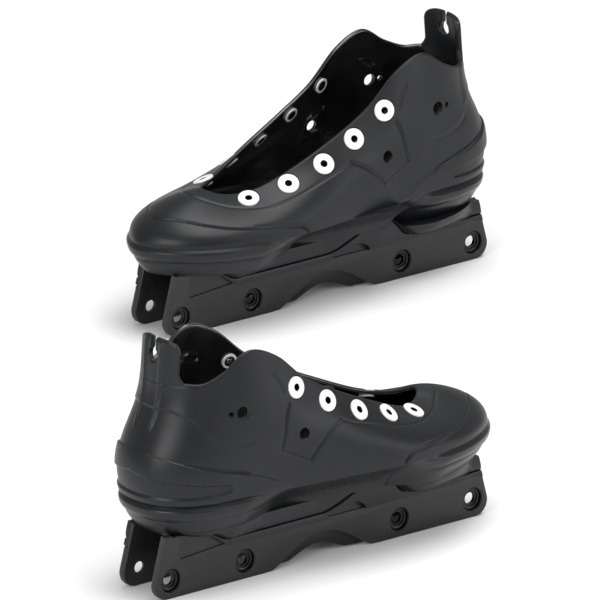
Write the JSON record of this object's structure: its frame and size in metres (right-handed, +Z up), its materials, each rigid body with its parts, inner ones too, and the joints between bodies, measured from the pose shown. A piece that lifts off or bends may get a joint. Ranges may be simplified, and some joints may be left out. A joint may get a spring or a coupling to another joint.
{
  "type": "inline skate boots",
  "caption": "Pair of aggressive inline skates without wheels: moulded boot shells with lace eyelets on grooved plastic frames.",
  "frame": {"origin": "middle of the pair's footprint, on the ground under the frame rails", "axes": "+X along the skates: the right skate's toe points to +X and the left skate's to -X; +Y from the right skate towards the left one; +Z up"},
  "size_m": [0.6222, 0.5198, 0.178],
  "materials": {
    "shell_plastic": "matte moulded charcoal with fine grain outside, glossy black inside",
    "plate_plastic": "matte moulded charcoal, slightly lighter than the shell",
    "frame_plastic": "satin moulded dark grey",
    "block_plastic": "near black hard plastic",
    "insert_plastic": "glossy black",
    "eyelet_plastic": "plain white, slightly glossy",
    "steel": "zinc-plated steel"
  },
  "bodies": {
    "right_skate": {"right_shell": "shell_plastic", "right_sole": "shell_plastic", "right_outer_soul_plate": "plate_plastic", "right_inner_soul_plate": "plate_plastic", "right_frame": "frame_plastic", "right_groove_block": "block_plastic", "right_outer_axle_inserts": "insert_plastic", "right_inner_axle_inserts": "insert_plastic", "right_outer_eyelets": "eyelet_plastic", "right_inner_eyelets": "eyelet_plastic", "right_outer_eyelet_washers": "eyelet_plastic", "right_inner_eyelet_washers": "eyelet_plastic", "right_frame_bolts": "steel", "right_frame_bolt_washers": "steel", "right_flange_nuts": "steel", "right_soul_plate_screws": "steel", "right_groove_block_screws": "steel"},
    "left_skate": {"left_shell": "shell_plastic", "left_sole": "shell_plastic", "left_outer_soul_plate": "plate_plastic", "left_inner_soul_plate": "plate_plastic", "left_frame": "frame_plastic", "left_groove_block": "block_plastic", "left_outer_axle_inserts": "insert_plastic", "left_inner_axle_inserts": "insert_plastic", "left_outer_eyelets": "eyelet_plastic", "left_inner_eyelets": "eyelet_plastic", "left_outer_eyelet_washers": "eyelet_plastic", "left_inner_eyelet_washers": "eyelet_plastic", "left_frame_bolts": "steel", "left_frame_bolt_washers": "steel", "left_flange_nuts": "steel", "left_soul_plate_screws": "steel", "left_groove_block_screws": "steel"}
  },
  "joints": [
    {"name": "set_side_by_side", "type": "slide", "parent": "right_skate", "child": "left_skate", "axis": [-0.7623, -0.6472, 0], "range_m": [0, 0.4342]}
  ]
}
